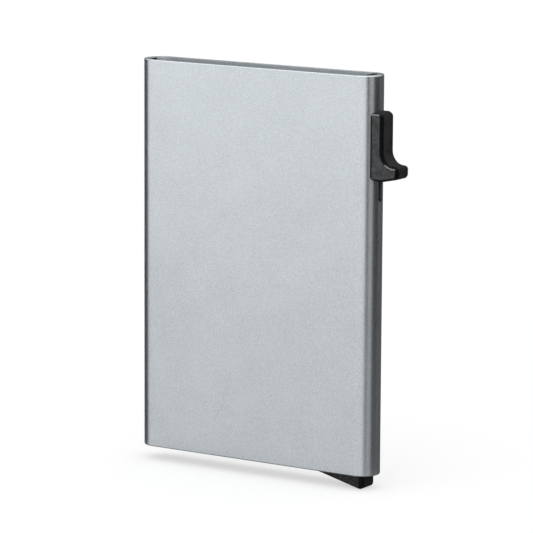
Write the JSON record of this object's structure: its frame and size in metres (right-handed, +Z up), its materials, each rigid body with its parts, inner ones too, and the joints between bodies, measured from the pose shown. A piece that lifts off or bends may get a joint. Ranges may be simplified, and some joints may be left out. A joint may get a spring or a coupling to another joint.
{
  "type": "pop-up card holder",
  "caption": "Slim upright metal card case, open at the top, with a side thumb slider that works a stepped lever inside and lifts the cards in a fan.",
  "frame": {"origin": "under the middle of the whole object's box, at the height of the lever's toe, its lowest point", "axes": "+Z up towards the open mouth, -Y out of the front broad face, +X towards the thumb slider"},
  "size_m": [0.0726, 0.0088, 0.0994],
  "materials": {
    "anodised_aluminium": "fine bead-blasted and clear anodised, satin",
    "black_moulding": "black moulded plastic, satin",
    "bright_steel": "bright drawn",
    "spring_steel": "drawn spring wire",
    "grey_felt": "short dense felt",
    "stop_rubber": "matt"
  },
  "bodies": {
    "case": {"case_shell": "anodised_aluminium", "base_block": "black_moulding", "base_plate": "black_moulding", "base_screw_outer": "bright_steel", "base_screw_inner": "bright_steel", "lever_pin": "bright_steel", "return_spring": "spring_steel", "guide_rail_left": "black_moulding", "guide_rail_right": "black_moulding", "felt_front_left": "grey_felt", "felt_front_right": "grey_felt", "felt_back_left": "grey_felt", "felt_back_right": "grey_felt", "lever_stop": "stop_rubber"},
    "slider": {"thumb_slider": "black_moulding", "slide_carriage": "black_moulding", "push_rod": "bright_steel", "rod_rivet_upper": "bright_steel", "rod_rivet_lower": "bright_steel"},
    "lever": {"ejector_lever": "black_moulding"}
  },
  "joints": [
    {"name": "slider_travel", "type": "slide", "parent": "case", "child": "slider", "axis": [0, 0, -1], "range_m": [0, 0.006], "stiffness_N_per_m": 500, "springref_m": -0.002},
    {"name": "lever_swing", "type": "hinge", "parent": "case", "child": "lever", "pos_m": [0.01497, 0, 0.0082], "axis": [0, 1, 0], "range_deg": [0, 30.3], "deforming": ["return_spring"]}
  ],
  "couplings": [
    {"joint": "lever_swing", "follows": "slider_travel", "rad_per_m": 87.974}
  ]
}
